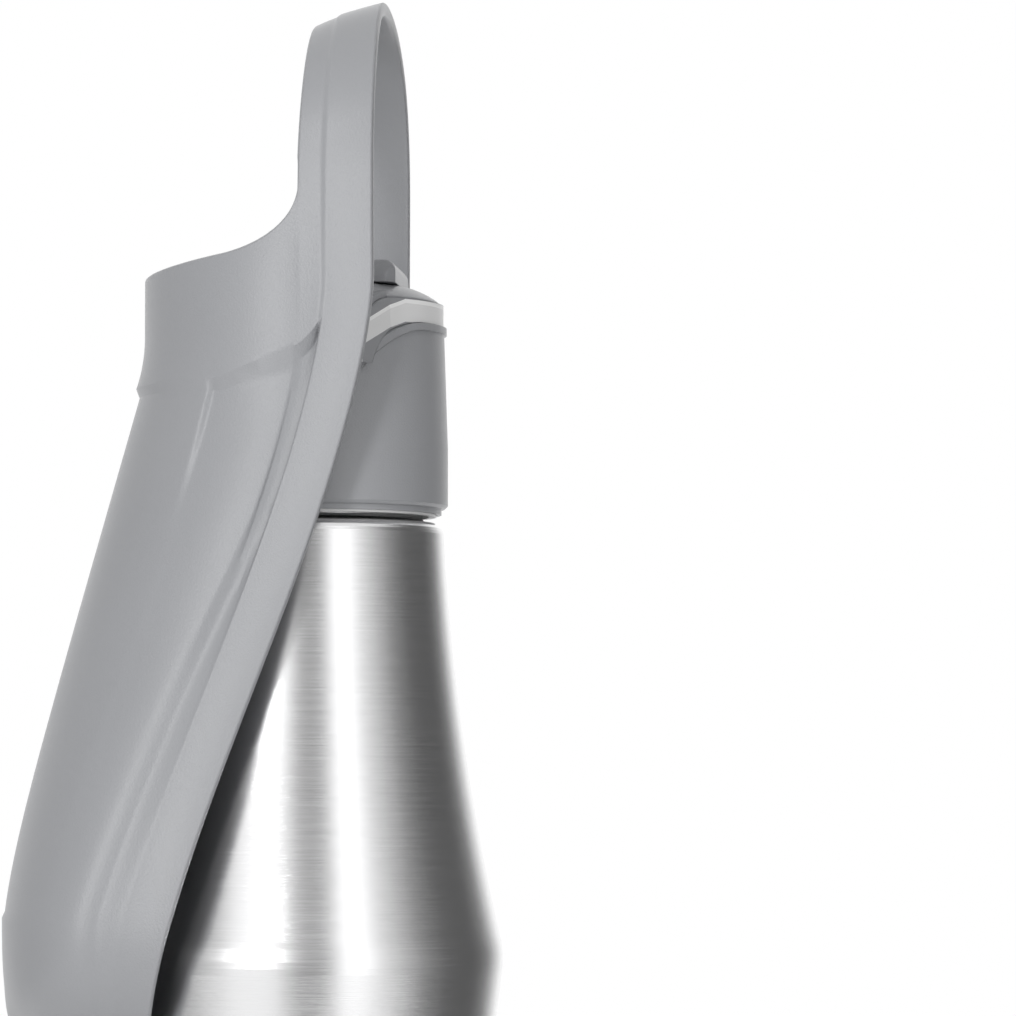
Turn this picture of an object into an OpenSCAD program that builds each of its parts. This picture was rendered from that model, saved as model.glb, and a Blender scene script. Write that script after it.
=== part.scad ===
// Travel water bottle for dogs: a steel bottle, a screw-on head with a slide lock,
// and a drinking trough with a carrying loop that folds over the bottle on two pins.
// Frame: Z up, origin at the middle of the base, +Y towards the folded trough.

/* [Bottle] */
// Radius of the bottle at its widest line
belly_r = 37.5; // [36.5:0.25:38.5]
// Height of the widest line above the base
belly_z = 85; // [80:1:90]
// Height of the steel shoulder above the base
shoulder_z = 164.9; // [160:0.1:168]
// Radius of the steel at the foot of its lower taper
foot_r = 31; // [28:0.5:34]
// Wall of the steel
steel_wall = 0.7; // [0.5:0.1:1]
// Outside radius of the threaded neck
neck_r = 22.2; // [21:0.1:24]
// Length of the neck above the shoulder
neck_len = 20.1; // [19:0.1:22]
// Depth of the groove pressed into the base
base_groove = 1.4; // [0.6:0.1:2]

/* [Screw thread] */
// Rise of the thread in one turn
thread_pitch = 4; // [3.5:0.25:5]
// Height of the thread ridges
thread_height = 0.9; // [0.6:0.1:1]
// Turns of thread on the neck
thread_turns = 1.5; // [1:0.25:2]

/* [Head] */
// Wall of the threaded sleeve
sleeve_wall = 1.4; // [1.2:0.1:2]
// Wall of the collar at its top
collar_wall = 1.3; // [1:0.1:1.8]
// How much wider the collar is at its lower edge
collar_taper = 0.75; // [0:0.05:1]
// Height of the collar from its lower edge to its arched top
collar_h = 33.7; // [32:0.1:36]
// Height of the white band between collar and cap
band_h = 4.2; // [3:0.1:5]
// Width of the sloping edge round the flat top of the cap
cap_slope = 4.7; // [3:0.1:6]
// Height of the cap above the band
cap_h = 3; // [2.6:0.1:4]
// Radius of the water outlet
outlet_r = 4.5; // [3:0.25:4.5]
// Distance of the water outlet behind the bottle's axis
outlet_back = 12.2; // [11:0.1:13]

/* [Slide lock] */
// Width of the slider across its foot
slider_w = 28.4; // [24:0.2:30]
// Length of the slider from front to back
slider_len = 21; // [20:0.5:22]
// Height of the slider above the cap
slider_h = 5.6; // [4:0.1:6]
// Travel of the slider from closed to open
slider_travel = 12; // [11:0.5:12.5]

/* [Hinge] */
// Distance of the hinge axis below the collar's arched top
pivot_drop = 6.2; // [5:0.1:7]
// Distance of the hinge axis behind the bottle's axis
pivot_back = 2; // [1:0.25:3]
// Radius of the hinge pins
pin_r = 1.4; // [1.2:0.05:1.5]
// Radius of the bosses on the trough
boss_r = 7.2; // [6:0.1:8]

/* [Trough] */
// Wall of the trough
trough_wall = 2; // [1.6:0.1:2.2]
// Wall of the carrying loop
loop_wall = 2.6; // [2:0.1:3]
// Room between the head and the rim of the trough at the hinge
waist_room = 6.6; // [6:0.1:8]
// How much wider than the bottle the leaf is on each side
leaf_room = 2.3; // [1:0.1:5]
// How much wider than the hinge the carrying loop is on each side
loop_spread = 0.8; // [0:0.1:3]
// Height of the carrying loop above its springing line
loop_h = 33.8; // [30:0.1:38]
// Depth of the band that forms the carrying loop
loop_depth = 13.2; // [11:0.1:15]
// Height of the trough's lower end above the base
nose_z = 61; // [56:1:64]
// Greatest reach of the trough in front of the bottle
bowl_depth = 18.4; // [15:0.1:22]
// Room between the head and the hood in front of it
hood_room = 2.2; // [2.1:0.1:3]
// Depth of the lip that runs round the rim
lip_depth = 8.3; // [6:0.1:10]
// How far the lip leans outwards
lip_flare = 0.9; // [0.4:0.1:1.2]
// How far the lip stands out from the wall behind it
lip_step = 0.35; // [0.1:0.05:0.6]
// Width of the channel between the lip and the side of the leaf
channel_w = 4.6; // [3:0.1:6]
// Depth of the channel under the hood
channel_in = 1.5; // [1:0.1:1.6]
// How far the side of the leaf lies inside the hood
panel_in = 1.1; // [0.6:0.1:1.2]

/* [Hidden] */
$fn = 96;
eps = 0.01;
big = 60;                 // larger than any piece's half width

// Colours
steel = [0.74, 0.74, 0.75];
grey = [0.60, 0.61, 0.63];
white = [0.93, 0.93, 0.92];
silicone = [0.85, 0.86, 0.88];

// Clearances
run_gap = 0.05;           // a pin in its running bore
press_gap = 0.02;         // a pin in its tight bore
seat_gap = 0.3;           // a piece beside another that moves past it
face_gap = 0.1;           // faces of one assembly that lie together
weld_gap = 0.15;          // the welded edge of the base

// Steel body
shoulder_step = 0.85;     // how much narrower the shoulder is than the collar
shoulder_slope = 0.045;   // radius gained per millimetre of height just under the shoulder
belly_slope = 0.135;      // radius lost per millimetre just below the widest line
belly_round = 3;          // half height of the rounding at the widest line
foot_z = 4;               // height where the foot's corner begins
foot_corner = 3.2;
shoulder_corner = 2.2;
neck_fillet = 1;
lip_roll = 1;             // radius of the rolled lip
neck_top = shoulder_z + neck_len;
flank_steps = 20;

// Base plate
plate_rim = foot_r - foot_corner;
plate_wall = 0.8;
groove_in = plate_rim - 8.8;
groove_out = plate_rim - 3.4;
groove_side = 0.8;        // run of the groove's sloping sides

// Thread
ridge_foot = 2.2;         // width of a ridge at its root
ridge_top = 0.9;          // width of a ridge at its crest
ridge_sink = 0.35;        // how deep a ridge is rooted in its wall
thread_gap = 0.3;         // radial room between a crest and the wall it faces
thread_z = shoulder_z + 4.6;
thread_step = 10;         // degrees between sections of a ridge
thread_fade = 40;         // degrees over which a ridge grows to its full height

// Head, from the neck outwards
sleeve_in = neck_r + thread_height + thread_gap;
sleeve_r = sleeve_in + sleeve_wall;
collar_in = sleeve_r + face_gap;
collar_r = collar_in + collar_wall + collar_taper;
shoulder_r = collar_r - shoulder_step;
sleeve_z = shoulder_z + 1.1;
collar_z = shoulder_z + 2.6;
collar_top = collar_z + collar_h;
collar_edge = 0.6;        // bevel of the collar's lower edge
foot_ring_h = 1.1;        // narrow ring under the collar
foot_ring_in = 1.2;
bead_w = 1.3;             // bead along the collar's arched top
bead_out = 0.5;
pivot_z = collar_top - pivot_drop;
arch_w = collar_r - 1.95; // half width of the arched edge between collar and band
arch_round = 13;
band_w = collar_r + 0.9;  // half width of the band over its two arms
band_round = 10;
band_r = collar_r - 0.85;
arm_x = band_r - 7.3;     // where the arms leave the round of the band
arm_back = 13.6;          // rear corner of the arms behind the bottle's axis
band_top = collar_top + band_h;
cap_top = band_top + cap_h;
cap_r = band_r - 0.75;
cap_top_r = cap_r - cap_slope;
cap_brow = 0.7;           // upright edge of the cap above the band
cap_skirt = 5;            // how far the cap follows the band down at its sides
cap_wall = 2;
nub_w = 1.2;              // nubs of the cap beside the hinge
nub_len = 8;
nub_foot = pivot_z + 6;
spigot_wall = 1.5;
spigot_h = 4.5;
ear_depth = 6;            // half width of the ears along Y
ear_face = collar_r + 0.3; // flat outer face of the collar's ears
ear_r = 9.6;
lug_foot = 2.1;           // how far the band's arms reach below the hinge axis
head_gap = 0.9;           // gap between the band's arms and the collar's ears
lug_z = pivot_z - lug_foot;
ear_top = lug_z - head_gap;
yoke_in = sleeve_r - 1.6;
seal_h = 1.6;
seal_gap = 0.05;          // room at each face of the neck seal
plate_z = neck_top + seal_h + 2 * seal_gap;
plate_h = 2;
outlet_y = -outlet_back;
vent_y = 12;
vent_r = 2;
chimney_wall = 1.4;
pivot_y = -pivot_back;

// Slide lock
slider_back = outlet_y - 7; // rear end of the slider when it is closed
slider_top_w = slider_w - 7; // width of the slider's flat top
slider_corner_r = cap_top_r + 2; // radius that trims the slider's corners in plan
stem_w = 10;
stem_len = 4;
stem_y = -1.5;
foot_w = 14;
foot_len = 8;
foot_h = 1.2;
pad_h = 1.3;              // thickness of the outlet seal
pad_rim = 1.4;            // how far the outlet seal reaches past the outlet

// Hinge
boss_in = band_w + seat_gap;
waist_w = band_w + waist_room; // half width of the rim at the hinge
boss_skin = 0.4;          // wall left over the bosses in the channel
boss_root = waist_w - lip_flare - lip_step - channel_in - boss_skin;
pin_end = boss_in + 3;
pin_start = yoke_in - 3;
pin_head_r = 2.3;
pin_head_h = 1;
pin_boss_r = 3.4;
pin_end_gap = 0.2;

// Trough: stations run along the rim from the top of the loop to the nose,
// columns run from the rim to the middle of the front
loop_w = waist_w + loop_spread;
leaf_w = belly_r + leaf_room;
leaf_front = belly_r + bowl_depth;
hood_front = band_r + hood_room + trough_wall;
spring_rise = 33;         // springing line of the loop above the hinge axis
bend_rise = 11;           // where the rim leaves its upright plane
step_rise = 5.8;          // where the hood steps in to the leaf
spring_z = pivot_z + spring_rise;
bend_z = pivot_z + bend_rise;
step_z = pivot_z + step_rise;
wide_z = belly_z + 8;     // where the leaf is widest
waist_z = pivot_z - 5;
rim_back = 16.3;          // the upright part of the rim lies this far behind the axis
rim_reach = belly_r - 9.5; // where the line of the rim would end at the nose
rim_crest = 0.7;          // how far the loop's top leans forwards
nose_room = belly_r + 0.1; // the nose keeps outside this radius of the bottle's axis
front_z = belly_z - 1;    // height of the greatest reach
front_slope = 0.29;      // lean of the leaf's front
front_round = 20.5;       // rounding of the front at its greatest reach
end_z = nose_z + 19;      // where the nose's curl meets the front
hood_fall = 11.6;         // fall of the hood's edge beside the loop
hood_slope = 6.1;         // its further fall to the front
hood_part = 0.42;
hood_flare = 0.7;         // the hood's front leans out to meet the leaf
hood_flare_h = 9;
step_slope = 0.36;        // fall of the step for each millimetre to the front
step_run = 21;
step_curl = 3.6;          // its first fall beside the lip
step_curl_run = 5.5;
step_row = 0.6;
side_drop = 2.4;          // height of the step's chamfer at the side
front_drop = 1.2;
crease = 0.46;            // place of the crease between side and front
crease_w = 0.05;
channel_low = 0.8;        // depth of the channel further down
fade_h = 32;              // height over which the side of the leaf merges into the front
loop_draft = [1, 3];      // the loop's sides and its top draw in towards the front
arch_n = 2.1;             // squareness of the loop
nose_n = 2.3;             // squareness of the nose
nose_soft = 1.4;          // rounding where the nose leaves the line of the rim
section_n = 2.1;          // squareness of the sections
rim_round = 0.5;          // crown of the rim's edge
lip_t = [0, 0.33 * lip_depth, 0.66 * lip_depth, lip_depth, lip_depth + 1, lip_depth + 2.6, loop_depth];
lip_cols = len(lip_t) - 1;
turns = [1, 3, 7, 13, 19.5, 25.8, 29.2, 36, 45, 54, 63, 72, 81, 90];
cols = lip_cols + len(turns);

function smooth(t) = let (c = max(0, min(1, t))) c * c * (3 - 2 * c);
function ramp(t) = max(0, min(1, t));
function ease_in(u) = u <= 0 ? 0 : u * u / (u + 0.03);
function soft_max(a, b, r) = (a + b + sqrt((a - b) * (a - b) + r * r)) / 2;
function mix(a, b, t) = a + (b - a) * t;

// Outline moved sideways by d, to the left of its direction of travel
function inset(line, d) = [for (i = [0 : len(line) - 1])
    let (t = line[min(i + 1, len(line) - 1)] - line[max(i - 1, 0)])
    line[i] + d * [-t[1], t[0]] / norm(t)];

function backwards(list) = [for (i = [len(list) - 1 : -1 : 0]) list[i]];

// Outer radius of the steel at height z, on the two flanks
function flank_r(z) =
    let (upper = shoulder_z - belly_z, lower = belly_z - foot_z, t = shoulder_z - z, s = belly_z - z)
    z >= belly_z
        ? shoulder_r + shoulder_slope * t + (belly_r - shoulder_r - shoulder_slope * upper) * pow(t / upper, 2)
        : belly_r - belly_slope * s + (foot_r - belly_r + belly_slope * lower) * pow(s / lower, 2);

// The widest line is rounded between the two flanks; a runs from -1 to 1
function belly_arc(a) =
    let (hi = flank_r(belly_z + belly_round), lo = flank_r(belly_z - belly_round), t = (a + 1) / 2)
    [lo * pow(1 - t, 2) + 2 * belly_r * t * (1 - t) + hi * t * t, belly_z + a * belly_round];

steel_side = concat(
    [for (a = [0 : 15 : 75]) [plate_rim + foot_corner * sin(a), foot_z - foot_corner * cos(a)]],
    [for (i = [0 : flank_steps]) let (z = mix(foot_z, belly_z - belly_round, i / flank_steps)) [flank_r(z), z]],
    [for (a = [-0.6 : 0.4 : 0.6]) belly_arc(a)],
    [for (i = [0 : flank_steps])
        let (z = mix(belly_z + belly_round, shoulder_z - shoulder_corner, i / flank_steps)) [flank_r(z), z]],
    [for (a = [15 : 15 : 90]) [shoulder_r - shoulder_corner * (1 - cos(a)),
                               shoulder_z - shoulder_corner * (1 - sin(a))]],
    [for (a = [0 : 30 : 90]) [neck_r + neck_fillet * (1 - sin(a)),
                              shoulder_z + neck_fillet * (1 - cos(a))]],
    [[neck_r, neck_top - lip_roll]]);

// A ridge that winds up round the Z axis. root and crest are radii.
module helix_ridge(root, crest, z, turn_count) {
    n = round(turn_count * 360 / thread_step);
    rings = [for (i = [0 : n])
        let (a = i * turn_count * 360 / n,
             grow = min(1, a / thread_fade, (turn_count * 360 - a) / thread_fade),
             top = mix(root, crest, 0.3 + 0.7 * grow),
             h = z + thread_pitch * a / 360)
        [for (p = [[root, -ridge_foot / 2], [top, -ridge_top / 2], [top, ridge_top / 2], [root, ridge_foot / 2]])
            [p[0] * cos(a), p[0] * sin(a), h + p[1]]]];
    points = [for (ring = rings) each ring];
    sides = [for (i = [0 : n - 1]) for (j = [0 : 3])
        let (a = 4 * i + j, b = 4 * i + (j + 1) % 4)
        each [[a, a + 4, b], [b, a + 4, b + 4]]];
    flip = crest < root;
    faces = concat(sides, [[0, 1, 2], [0, 2, 3]], [[4 * n + 2, 4 * n + 1, 4 * n], [4 * n + 3, 4 * n + 2, 4 * n]]);
    polyhedron(points, flip ? faces : [for (f = faces) backwards(f)]);
}

module ring(r_out, r_in, h) {
    difference() {
        cylinder(r = r_out, h = h);
        translate([0, 0, -1]) cylinder(r = r_in, h = h + 2);
    }
}

// Both ends of the hinge axis, with local Z pointing outwards
module on_hinge(side) {
    translate([0, pivot_y, pivot_z]) rotate([0, 90 * side, 0]) children();
}

module along_y(outline) {
    rotate([90, 0, 0]) linear_extrude(2 * big, center = true) polygon(outline);
}

// An upright outline with a flat top and two round shoulders
function arch(half_w, low, top, r) = concat(
    [[half_w, low]],
    [for (a = [0 : 9 : 90]) [half_w - r + r * cos(a), top - r + r * sin(a)]],
    [for (a = [90 : 9 : 180]) [r - half_w + r * cos(a), top - r + r * sin(a)]],
    [[-half_w, low]]);

module steel_body() {
    color(steel) {
        union() {
            rotate_extrude() polygon(concat(steel_side, backwards(inset(steel_side, steel_wall))));
            translate([0, 0, neck_top - lip_roll]) rotate_extrude() translate([neck_r - lip_roll, 0]) circle(r = lip_roll, $fn = 32);
            helix_ridge(neck_r - ridge_sink, neck_r + thread_height, thread_z, thread_turns);
        }
    }
}

module base_plate() {
    under = [[0, 0], [groove_in, 0], [groove_in + groove_side, base_groove], [groove_out - groove_side, base_groove],
             [groove_out, 0], [plate_rim - plate_wall, 0], [plate_rim - weld_gap, plate_wall]];
    upper = [[plate_rim - weld_gap, plate_wall + steel_wall - run_gap], [groove_out + plate_wall / 2, plate_wall],
             [groove_out - groove_side / 2, base_groove + plate_wall],
             [groove_in + groove_side / 2, base_groove + plate_wall], [groove_in - plate_wall / 2, plate_wall],
             [0, plate_wall]];
    color(steel) rotate_extrude() polygon(concat(under, upper));
}

module neck_seal() {
    color(silicone) translate([0, 0, neck_top + seal_gap]) ring(neck_r + 0.4, neck_r - 2 * lip_roll - 0.6, seal_h);
}

module thread_sleeve() {
    color(white) {
        union() {
            difference() {
                translate([0, 0, sleeve_z]) cylinder(r = sleeve_r, h = plate_z - face_gap - sleeve_z);
                translate([0, 0, sleeve_z - 1]) cylinder(r = sleeve_in, h = plate_z - sleeve_z + 2);
            }
            helix_ridge(sleeve_in + ridge_sink, neck_r + thread_gap, thread_z + thread_pitch / 2, thread_turns);
        }
    }
}

module collar() {
    side_line = [[0, collar_z - foot_ring_h], [collar_r - foot_ring_in, collar_z - foot_ring_h],
                 [collar_r - foot_ring_in, collar_z], [collar_r - collar_edge, collar_z],
                 [collar_r, collar_z + collar_edge], [collar_r, collar_z + collar_h / 3],
                 [collar_r - collar_taper, collar_top], [0, collar_top]];
    low = collar_z - foot_ring_h - 1;
    skyline = concat([[-big, low], [big, low], [big, ear_top]],
                     arch(arch_w, ear_top, collar_top, arch_round), [[-big, ear_top]]);
    color(grey) {
        difference() {
            intersection() {
                union() {
                    rotate_extrude() polygon(side_line);
                    for (side = [-1, 1]) on_hinge(side) cylinder(r = ear_r, h = ear_face);
                    difference() {
                        translate([0, 0, ear_top])
                            cylinder(r = collar_r - collar_taper + bead_out, h = collar_top - ear_top);
                        along_y(arch(arch_w - bead_w, low, collar_top - bead_w, arch_round - bead_w));
                    }
                }
                along_y(skyline);
            }
            translate([0, 0, low]) cylinder(r = collar_in, h = collar_top - low + 1);
        }
    }
}

module hinge_yoke() {
    arm_y = -sqrt(band_r * band_r - arm_x * arm_x);
    color(white) {
        difference() {
            union() {
                intersection() {
                    translate([0, 0, plate_z]) cylinder(r = sleeve_r, h = band_top - plate_z);
                    along_y(arch(band_w, plate_z - 1, band_top, band_round));
                }
                intersection() {
                    difference() {
                        along_y(arch(band_w, lug_z, band_top, band_round));
                        along_y(arch(arch_w + face_gap, lug_z - 1, collar_top + face_gap, arch_round));
                    }
                    linear_extrude(band_top + 1) {
                        circle(r = band_r);
                        polygon([[-arm_x, arm_y], [-band_w, -arm_back], [-band_w, pivot_y + ear_depth],
                                 [band_w, pivot_y + ear_depth], [band_w, -arm_back], [arm_x, arm_y]]);
                    }
                }
            }
            difference() {
                translate([0, 0, plate_z + plate_h]) cylinder(r = yoke_in, h = band_top);
                translate([0, outlet_y, plate_z]) cylinder(r = outlet_r + chimney_wall, h = cap_top - cap_wall - face_gap - plate_z);
                for (side = [-1, 1]) on_hinge(side) translate([0, 0, pin_start]) cylinder(r = pin_boss_r, h = yoke_in);
            }
            translate([0, outlet_y, plate_z - 1]) cylinder(r = outlet_r, h = cap_top);
            translate([0, vent_y, plate_z - 1]) cylinder(r = vent_r, h = plate_h + 2);
            for (side = [-1, 1]) on_hinge(side) cylinder(r = pin_r + press_gap, h = big);
        }
    }
}

module cap() {
    dome = [for (a = [0 : 10 : 90]) [cap_top_r + cap_slope * cos(a),
                                     band_top + cap_brow + (cap_h - cap_brow) * sin(a)]];
    travel_y = stem_y - stem_len / 2 - seat_gap;
    nub_x = boss_in - seat_gap;
    color(grey) {
        difference() {
            union() {
                difference() {
                    union() {
                        rotate_extrude() polygon(concat([[0, band_top - cap_skirt], [cap_r, band_top - cap_skirt]],
                                                        dome, [[0, cap_top]]));
                        intersection() {
                            along_y(arch(band_w + nub_w, lug_z, band_top + nub_w, band_round + nub_w));
                            translate([-nub_x, pivot_y - nub_len / 2, nub_foot])
                                cube([2 * nub_x, nub_len, band_top - nub_foot - nub_w]);
                        }
                    }
                    along_y(arch(band_w + face_gap, lug_z, band_top, band_round));
                }
                translate([0, 0, band_top - spigot_h]) cylinder(r = yoke_in - face_gap, h = spigot_h + eps);
            }
            translate([0, 0, band_top - spigot_h - 1])
                cylinder(r = yoke_in - face_gap - spigot_wall, h = spigot_h + 1 + cap_h - cap_wall);
            translate([0, outlet_y, band_top - 1]) cylinder(r = outlet_r, h = cap_h + 2);
            translate([-stem_w / 2 - seat_gap, travel_y, band_top - 1])
                cube([stem_w + 2 * seat_gap, stem_len + 2 * seat_gap + slider_travel, cap_h + 2]);
            for (side = [-1, 1]) on_hinge(side) cylinder(r = pin_boss_r + face_gap, h = yoke_in);
        }
    }
}

module vent_valve() {
    color(silicone) translate([0, vent_y, plate_z]) {
        translate([0, 0, -face_gap - 0.8]) cylinder(r = vent_r + 1.6, h = 0.8);
        translate([0, 0, -face_gap - 0.1]) cylinder(r = vent_r - face_gap, h = plate_h + 0.3);
        translate([0, 0, plate_h + face_gap]) cylinder(r1 = vent_r + 0.5, r2 = vent_r - 0.6, h = 1.6);
    }
}

module outlet_seal() {
    color(silicone) translate([0, outlet_y, cap_top + face_gap]) cylinder(r = outlet_r + pad_rim, h = pad_h);
}

module pivot_pin(side) {
    color(steel) on_hinge(side) {
        translate([0, 0, pin_start]) cylinder(r = pin_r, h = pin_end - pin_start);
        translate([0, 0, pin_start - pin_head_h]) cylinder(r = pin_head_r, h = pin_head_h);
    }
}

module pivot_pin_left() { pivot_pin(-1); }
module pivot_pin_right() { pivot_pin(1); }

module lock_slider() {
    z = cap_top + seat_gap;
    top = cap_top + slider_h;
    shoulder_w = (slider_w - slider_top_w) / 2;
    shoulder_h = slider_h - seat_gap - 1;
    half = concat([[slider_w / 2, z]],
        [for (a = [0 : 10 : 90]) [slider_top_w / 2 + shoulder_w * cos(a), top - shoulder_h + shoulder_h * sin(a)]]);
    outline = concat(half, [for (p = backwards(half)) [-p[0], p[1]]]);
    color(grey) {
        union() {
            difference() {
                intersection() {
                    translate([0, slider_back + slider_len, 0])
                        rotate([90, 0, 0]) linear_extrude(slider_len) polygon(outline);
                    cylinder(r = slider_corner_r, h = top + 1);
                }
                translate([0, outlet_y, z - 1])
                    cylinder(r = outlet_r + pad_rim + face_gap, h = pad_h + face_gap + 1 - seat_gap + face_gap);
            }
            translate([-stem_w / 2, stem_y - stem_len / 2, cap_top - cap_wall - seat_gap - foot_h])
                cube([stem_w, stem_len, cap_wall + 2 * seat_gap + foot_h + eps]);
            translate([-foot_w / 2, stem_y - foot_len / 2, cap_top - cap_wall - seat_gap - foot_h])
                cube([foot_w, foot_len, foot_h]);
        }
    }
}

// Stations of the rim: the loop's arch, the two sides and the nose
hood_rows = [for (i = [0 : 6]) mix(spring_z, step_z, i / 6)];
leaf_rows = [for (i = [0 : 12]) mix(step_z - step_row, wide_z, i / 12)];
half_rim = concat(
    [for (a = [90 : -7.5 : 7.5]) ["loop", a]],
    [for (z = hood_rows) ["hood", z]],
    [for (z = leaf_rows) ["leaf", z]],
    [for (b = [9 : 9 : 90]) ["nose", b]]);
first_hood = 12;
half_count = len(half_rim) - 1;

function side_w(z) = z >= waist_z
    ? mix(waist_w, loop_w, smooth((z - waist_z) / (spring_z - waist_z)))
    : mix(waist_w, leaf_w, smooth((waist_z - z) / (waist_z - wide_z)));

// Half width and height of a station, drawn in by i and, on the loop, by a further d
function rim_xz(s, i, d) =
    s[0] == "loop" ? [(loop_w - i - d[0]) * pow(cos(s[1]), 2 / arch_n),
                      spring_z + (loop_h - i - d[1]) * pow(sin(s[1]), 2 / arch_n)] :
    s[0] == "nose" ? [(leaf_w - i) * pow(cos(s[1]), 2 / nose_n),
                      wide_z - (wide_z - nose_z - i) * pow(sin(s[1]), 2 / nose_n)] :
    [side_w(s[1]) - i - (s[0] == "hood" ? d[0] * (s[1] - step_z) / (spring_z - step_z) : 0), s[1]];

function rim_line(z) =
    let (t = (bend_z - z) / (bend_z - nose_z))
    -rim_back + (rim_back + rim_reach) * mix(ease_in(t), smooth(t), mix(0.45, 0.85, ramp(t)));

function rim_y(s) =
    let (p = rim_xz(s, 0, [0, 0]))
    s[0] == "loop" ? rim_crest * pow(sin(s[1]), 4) - rim_back :
    s[0] == "nose" ? soft_max(rim_line(p[1]), sqrt(max(0, nose_room * nose_room - p[0] * p[0])), nose_soft) :
    rim_line(p[1]);

function front_y(z) =
    let (d = max(0, z - front_z))
    leaf_front - front_slope * (sqrt(d * d + front_round * front_round) - front_round);

// How far down the leaf a station lies: 0 at the step, 1 at the widest line
function down_leaf(z) = ramp((step_z - z) / (step_z - wide_z));

// Fall of the hood's upper edge at part u of its way to the front
function edge_fall(u) = hood_fall * pow(1 - pow(1 - ramp(u / hood_part), 2), 0.55) + hood_slope * u;

// Fall of the step at distance d behind the lip, and the height of its chamfer
function step_fall(d) = step_slope * max(0, min(d, step_run)) + step_curl * (1 - pow(1 - ramp(d / step_curl_run), 2));
function step_drop(d, u) = ramp(d / 1.2) * mix(side_drop, front_drop, smooth((u - crease + crease_w) / (2 * crease_w)));

// How far the wall is drawn in at distance d behind the lip and part u of the way to the front
function relief(s, d, u) =
    let (below = s[0] == "leaf" ? step_z - s[1] : s[0] == "nose" ? step_z - wide_z : 0,
         merge = 1 - smooth(below / fade_h),
         keep = s[0] == "leaf" ? 1 : s[0] == "nose" ? 1 - smooth(s[1] / 50) : 0,
         side = panel_in * merge,
         deep = mix(channel_low, channel_in, merge))
    lip_flare * (1 - pow(1 - ramp(1 + d / lip_depth), 2)) + lip_step * ramp(d) * (s[0] == "nose" ? keep : 1)
        + keep * (mix(deep, side, ramp(d - channel_w + 0.5)) * ramp(d) - side * ramp((u - crease) / crease_w));

function shell_wall(s) =
    s[0] == "loop" || s[0] == "hood" ? loop_wall :
    s[0] == "leaf" ? mix(loop_wall, trough_wall, ramp((step_z - s[1]) / 40)) : trough_wall;

// Point of the shell at station s and column j: layer 0 is the outer skin, layer 1 the inner skin
function shell(s, j, layer) =
    let (scale = s[0] == "nose" ? 1 - 0.6 * sin(s[1]) : s[0] == "loop" ? 1 - 0.07 * sin(s[1]) : 1,
         t = lip_t[min(j, lip_cols)],
         a = j <= lip_cols ? 0 : turns[j - lip_cols - 1],
         c = a == 90 ? 0 : pow(cos(a), 2 / section_n),
         u = pow(sin(a), 2 / section_n),
         back = rim_y(s),
         root = back + t * scale,
         low = 1 - down_leaf(s[1]),
         shift = s[0] == "leaf" ? low * (step_slope * step_run + step_curl + front_drop) : 0,
         lean = hood_flare * pow(ramp(1 - (s[1] - step_z) / hood_flare_h), 2),
         front = s[0] == "hood" ? hood_front + lean :
                 s[0] == "leaf" ? front_y(s[1] - shift) : front_y(end_z),
         d = (mix(root, front, u) - back) / scale - lip_depth,
         e = relief(s, d, u) + layer * shell_wall(s),
         draft = loop_draft * pow(t / loop_depth, 2),
         p = rim_xz(s, e, draft),
         f = (spring_z - s[1]) / (spring_z - step_z),
         z = s[0] == "nose" ? mix(mix(wide_z, end_z, (wide_z - p[1]) / (wide_z - nose_z - e)), p[1], c) :
             s[0] == "leaf" ? p[1] - low * (step_fall(d) + step_drop(d, u)) :
             s[0] == "hood" ? p[1] - mix(edge_fall(u), step_fall(d), f) : p[1])
    [p[0] * c, mix(root, front - layer * trough_wall, u), z];

// The whole rim, once round, and the rows of points on both skins
rim_count = 2 * half_count;
function station(n) = let (m = (n + rim_count) % rim_count) half_rim[m <= half_count ? m : rim_count - m];
function side_of(n) = (n + rim_count) % rim_count <= half_count ? 1 : -1;
function placed(n, j, i) = let (p = shell(station(n), j, i)) [side_of(n) * p[0], p[1], p[2]];

function full(n) = let (m = (n + rim_count) % rim_count) m >= first_hood && m <= rim_count - first_hood;
row_len = cols + 1;
skin = rim_count * row_len;
function at(n, j, layer) = layer * skin + (n % rim_count) * row_len + j;

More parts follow.
